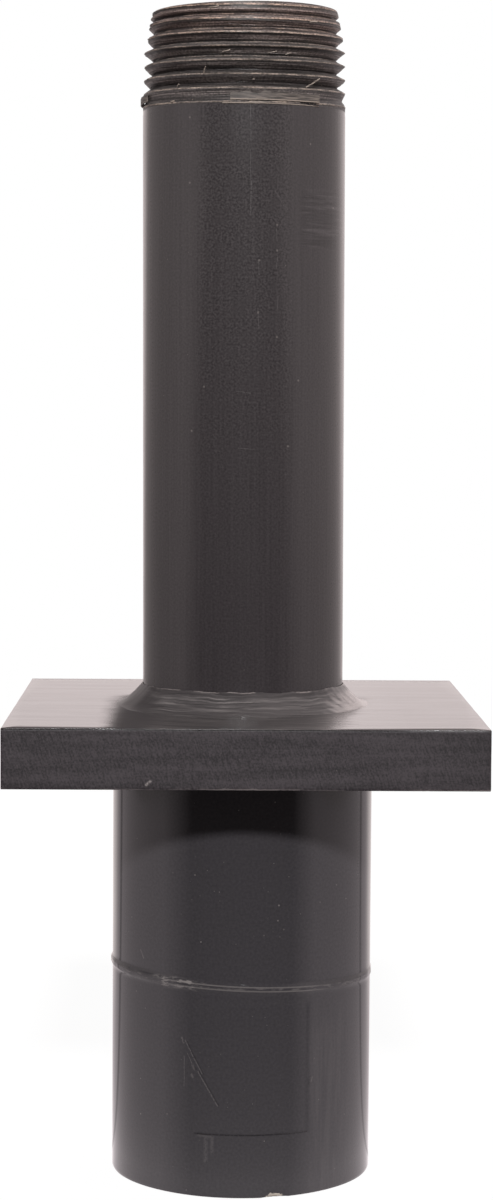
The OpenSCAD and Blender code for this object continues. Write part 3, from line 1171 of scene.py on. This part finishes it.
def moulded_plastic():
    finish, shader, place = add_finish("moulded_plastic")
    sheet, _, height, turn = unroll(place, COUPLING_WRAP)
    arc = split(sheet)[0]
    grainy = noise_value(sheet, 2.2, 4.0)
    cloud = noise_value(sheet, 0.12, 2.0)
    base = add_ramp(grainy, [(0.3, (0.0415, 0.0385, 0.0425)), (0.7, (0.0545, 0.05, 0.055))])
    # Dust, thickest in a few places
    dust = times(specks(sheet, 1.2, 0.16, 0.35), step_node(cloud, 0.35, 0.6))
    grit = specks(sheet, 0.8, 0.17, 0.4)
    for side, z, reach in ((-21, 22, 5.0), (3, 15.5, 4.0), (-14, 52, 6.0), (12, 47, 6.0)):
        dust = larger(dust, times(grit, step_node(gap_to(sheet, side, z, COUPLING_WRAP), reach, 1.0)))
    base = tint(base, dust, 0.5, PALE_DUST)
    # Scratches with their dark sides painted as shade, drips, and painted shade in the groove under the
    # patch
    scratches = strokes(sheet, [
        (-24.6, 25.6, -16.8, 20.3, 0.13), (-18.6, 20.6, -9.9, 15.2, 0.15), (-23.5, 23.5, -20, 20.8, 0.09),
        (-26.2, 25.9, -25.4, 25.2, 0.25), (-21.0, 21.6, -20.4, 21.1, 0.32),
        (-21.6, 20.1, -21.0, 19.7, 0.28), (-25, 23.0, -25, 18.0, 0.07), (32, 18.6, 32.6, 19.3, 0.14),
        (-49.5, 39.2, -47.5, 38.0, 0.22)], COUPLING_WRAP)
    base = tint(base, scratches, 0.3, PALE_MARK)
    # Painted shade along one side of each scratch
    scratch_shade = strokes(sheet, [
        (-23.6, 25.4, -16.0, 20.2, 0.15), (-17.8, 20.6, -9.3, 15.3, 0.17),
        (-20.2, 21.4, -19.6, 21.0, 0.3), (30.6, 18.3, 31.5, 19.5, 0.3)], COUPLING_WRAP)
    base = tint(base, scratch_shade, 0.5, PAINTED_SHADE)
    drips = strokes(sheet, [
        (-15, 10, -15, 6, 0.5), (-12.2, 10, -12.2, 7.5, 0.45), (-18, 10.2, -12, 10.1, 0.4)], COUPLING_WRAP)
    base = tint(base, drips, 0.14, PALE_MARK)
    # Painted shade darkening the groove under the patch
    groove_shade = strokes(sheet, [(PATCH_LEFT, 10.45, PATCH_RIGHT, 10.45, 0.16)], COUPLING_WRAP)
    base = tint(base, groove_shade, 0.75, PAINTED_SHADE)
    # Rubbed lengthwise on the right, below the ridge
    paler_tone = times(hump(arc, 10.5, 12.5, 17.0, 24.0), step_node(height, 33.0, 26.0))
    paler_tone = times(paler_tone, step_node(streaks(sheet, (0.8, 0.07, 1.0)), 0.4, 0.66))
    base = tint(base, paler_tone, 0.07, PALE_MARK)
    # Cement along the ridge, with painted highlight lines beside it
    ridge_mark = ridge_cement_and_highlight(sheet, arc, height, turn)
    base = mix_color(ridge_mark, base, (0.24, 0.218, 0.212))
    # Broken rim, pale where it is chipped
    away = vector_node("SUBTRACT", sheet, (arc_of(15.1, COUPLING_WRAP), 0.0, 0.0))
    away = vector_node("LENGTH", stretched(away, (0.72, 1.4, 0.0)))
    chipped = step_node(scaled(noise_value(sheet, 1.6), 1.3, away), 1.9, 1.6)
    base = mix_color(chipped, base, (0.62, 0.55, 0.48))
    gloss = mix_value(ridge_mark, add_ramp(cloud, [(0.3, 0.06), (0.7, 0.1)]), 0.4)
    relief = scaled(scratches, -1.5, times(grainy, 0.12))
    dress(shader, base, mix_value(chipped, gloss, 0.7), relief, 0.3, 0.04)
    return finish


# Studio

CAMERA_LENS = 83.3
CAMERA_PLACE = Vector((-5.43, -463.2, 129.5)) * MM
CAMERA_PAN = math.radians(0.73)
CAMERA_TILT = math.radians(4.17)
CAMERA_ROLL = math.radians(-0.37)


def photo_camera():
    clear_selection()
    bpy.ops.object.camera_add()
    camera = bpy.context.object
    camera.name = "photo_camera"
    camera.data.lens = CAMERA_LENS
    camera.data.sensor_width = 36
    level = Vector((math.cos(CAMERA_PAN), -math.sin(CAMERA_PAN), 0))
    ahead = Vector((math.sin(CAMERA_PAN), math.cos(CAMERA_PAN), 0)) * math.cos(CAMERA_TILT)
    ahead.z = -math.sin(CAMERA_TILT)
    down = ahead.cross(level)
    right = math.cos(CAMERA_ROLL) * level + math.sin(CAMERA_ROLL) * down
    up = math.sin(CAMERA_ROLL) * level - math.cos(CAMERA_ROLL) * down
    turn = Matrix((right, up, -ahead)).transposed().to_4x4()
    camera.matrix_world = Matrix.Translation(CAMERA_PLACE) @ turn
    bpy.context.scene.camera = camera


def ramp_round(turn, levels, green, blue):
    """Light by bearing in degrees from the front, tinted by its green and blue shares."""
    share = scaled(turn, 0.5 / math.pi, 0.5)
    return add_ramp(share, [
        (side / 360 + 0.5, (level, green * level, blue * level)) for side, level in levels])


def seen_straight(path):
    """1 where the camera looks straight or through something clear."""
    return smaller(plus(path.outputs["Is Camera Ray"], path.outputs["Is Transmission Ray"]), 1.0)


def mix_shader(factor, first, second):
    inputs = {0: factor, 1: first.outputs[0], 2: second.outputs[0]}
    return add_node(factor.id_data, "ShaderNodeMixShader", inputs)


def pale_floor():
    """Pale sheet under the object, fading into the dark room in front."""
    clear_selection()
    bpy.ops.mesh.primitive_plane_add(size=1)
    floor = bpy.context.object
    floor.name = "pale_floor"
    move_points(floor, lambda p: Vector((p.x * 0.9, p.y * 1.1 + 0.05, 0)))
    finish = bpy.data.materials.new("pale_floor")
    finish.use_nodes = True
    tree = finish.node_tree
    tree.nodes.remove(tree.nodes["Principled BSDF"])
    path = add_node(tree, "ShaderNodeLightPath")
    place = add_node(tree, "ShaderNodeTexCoord").outputs["Object"]
    x, y, _ = split(place)
    # What the glossy pieces mirror: dark in front, pale at the sides with a thin dark gap, white behind
    turn = math_node("ARCTAN2", x, scaled(y, -1.0, -0.013))
    sides = [
        (-180, 0.6), (-137.5, 0.62), (-136.5, 0.25), (-133.5, 0.25), (-132.5, 0.63), (-95, 0.66),
        (-74, 0.62), (-46, 0.0), (45, 0.0), (67, 0.58), (95, 0.64), (127, 0.64), (128, 0.25),
        (130, 0.25), (131, 0.63), (180, 0.6)]
    pale = ramp_round(turn, sides, 0.89, 0.92)
    away = larger(vector_node("LENGTH", place), 0.03)
    # Brighter close to the object: a painted pool of light for the glossy pieces to mirror
    near = add_ramp(over(0.018, away), [(0.0, 0.0), (1.0, (1.0, 0.93, 0.95))])
    behind = step_node(size_of(turn), math.radians(139), math.radians(152))
    behind = times(behind, step_node(away, 0.06, 0.25))
    shine = vector_node("ADD", mix_color(behind, pale, (1.0, 0.9, 0.89)), near)
    mirrored = add_node(tree, "ShaderNodeEmission", {"Color": shine})
    cover = add_node(tree, "ShaderNodeBsdfDiffuse", {"Color": (0.28, 0.262, 0.26, 1)})
    bounced = mix_shader(path.outputs["Is Glossy Ray"], cover, mirrored)
    # What the camera sees: white, with the object's faint shadow
    faint = add_node(tree, "ShaderNodeBsdfDiffuse", {"Color": (0.1, 0.1, 0.1, 1)})
    glow = add_node(tree, "ShaderNodeEmission", {"Strength": 0.95})
    shown = add_node(tree, "ShaderNodeAddShader", {0: faint.outputs[0], 1: glow.outputs[0]})
    surface = mix_shader(seen_straight(path), bounced, shown)
    feed(tree.nodes["Material Output"].inputs["Surface"], surface.outputs[0])
    floor.data.materials.append(finish)


def photo_lights():
    clear_selection()
    bpy.ops.object.light_add(type="SUN")
    key = bpy.context.object
    key.name = "key_light"
    key.data.energy = 2.6
    key.data.angle = math.radians(5)
    key.rotation_euler = (math.radians(60), 0, math.radians(1))


def white_world():
    """White backdrop, with pale sides and a dark room in front for the glossy pieces to mirror."""
    world = bpy.data.worlds.new("white_world")
    bpy.context.scene.world = world
    world.use_nodes = True
    tree = world.node_tree
    path = add_node(tree, "ShaderNodeLightPath")
    x, y, z = split(add_node(tree, "ShaderNodeTexCoord").outputs["Generated"])
    turn = turn_node(x, y)
    lean = times(math_node("SIGN", turn), z)
    lean = smaller(larger(lean, -0.14), 0.14)
    turn = scaled(lean, 1.2, turn)
    sides = [
        (-180, 1.1), (-158, 1.1), (-149, 0.55), (-100, 0.5), (-80, 0.62), (-66, 0.6), (-48, 0.06),
        (40, 0.06), (52, 0.34), (64, 0.6), (90, 0.64), (126, 0.68), (142, 0.8), (152, 1.1), (180, 1.1)]
    around = ramp_round(turn, sides, 0.89, 0.88)
    # Level by height, with a taller pale wall on the right
    rise = scaled(z, 0.5, 0.5)
    foot = [(0.0, 0.1), (0.34, 0.1), (0.38, 0.88), (0.48, 0.88), (0.5, 1.0)]
    low = add_ramp(rise, foot + [(0.6, 1.0), (0.68, 0.18), (1.0, 0.15)])
    tall = add_ramp(rise, foot + [(0.8, 1.0), (0.9, 0.2), (1.0, 0.2)])
    room = stretched(around, mix_color(step_node(x, 0.0, 0.35), low, tall))
    backing = tree.nodes["Background"]
    feed(backing.inputs["Color"], mix_color(seen_straight(path), room, (1, 1, 1)))
    backing.inputs["Strength"].default_value = 1.0


def view_settings():
    bpy.context.scene.view_settings.view_transform = "Standard"


hand_over(threaded_pipe(), extruded_plastic(), "threaded_pipe")
torn = torn_plastic("torn_plastic", [(0.05, 0.043, 0.0395), (0.125, 0.106, 0.096), (0.28, 0.233, 0.2)])
loose = torn_plastic("loose_plastic", [(0.2, 0.165, 0.14), (0.36, 0.3, 0.255), (0.52, 0.43, 0.36)])
hand_over(torn_strip(), torn)
hand_over(torn_burr(), torn)
hand_over(thread_shavings(), loose)
hand_over(flange_plate(), sheet_plastic(), "flange_plate")
hand_over(pipe_weld(), weld_plastic(), "pipe_weld")
hand_over(socket_coupling(), moulded_plastic(), "socket_coupling")
photo_camera()
pale_floor()
photo_lights()
white_world()
view_settings()
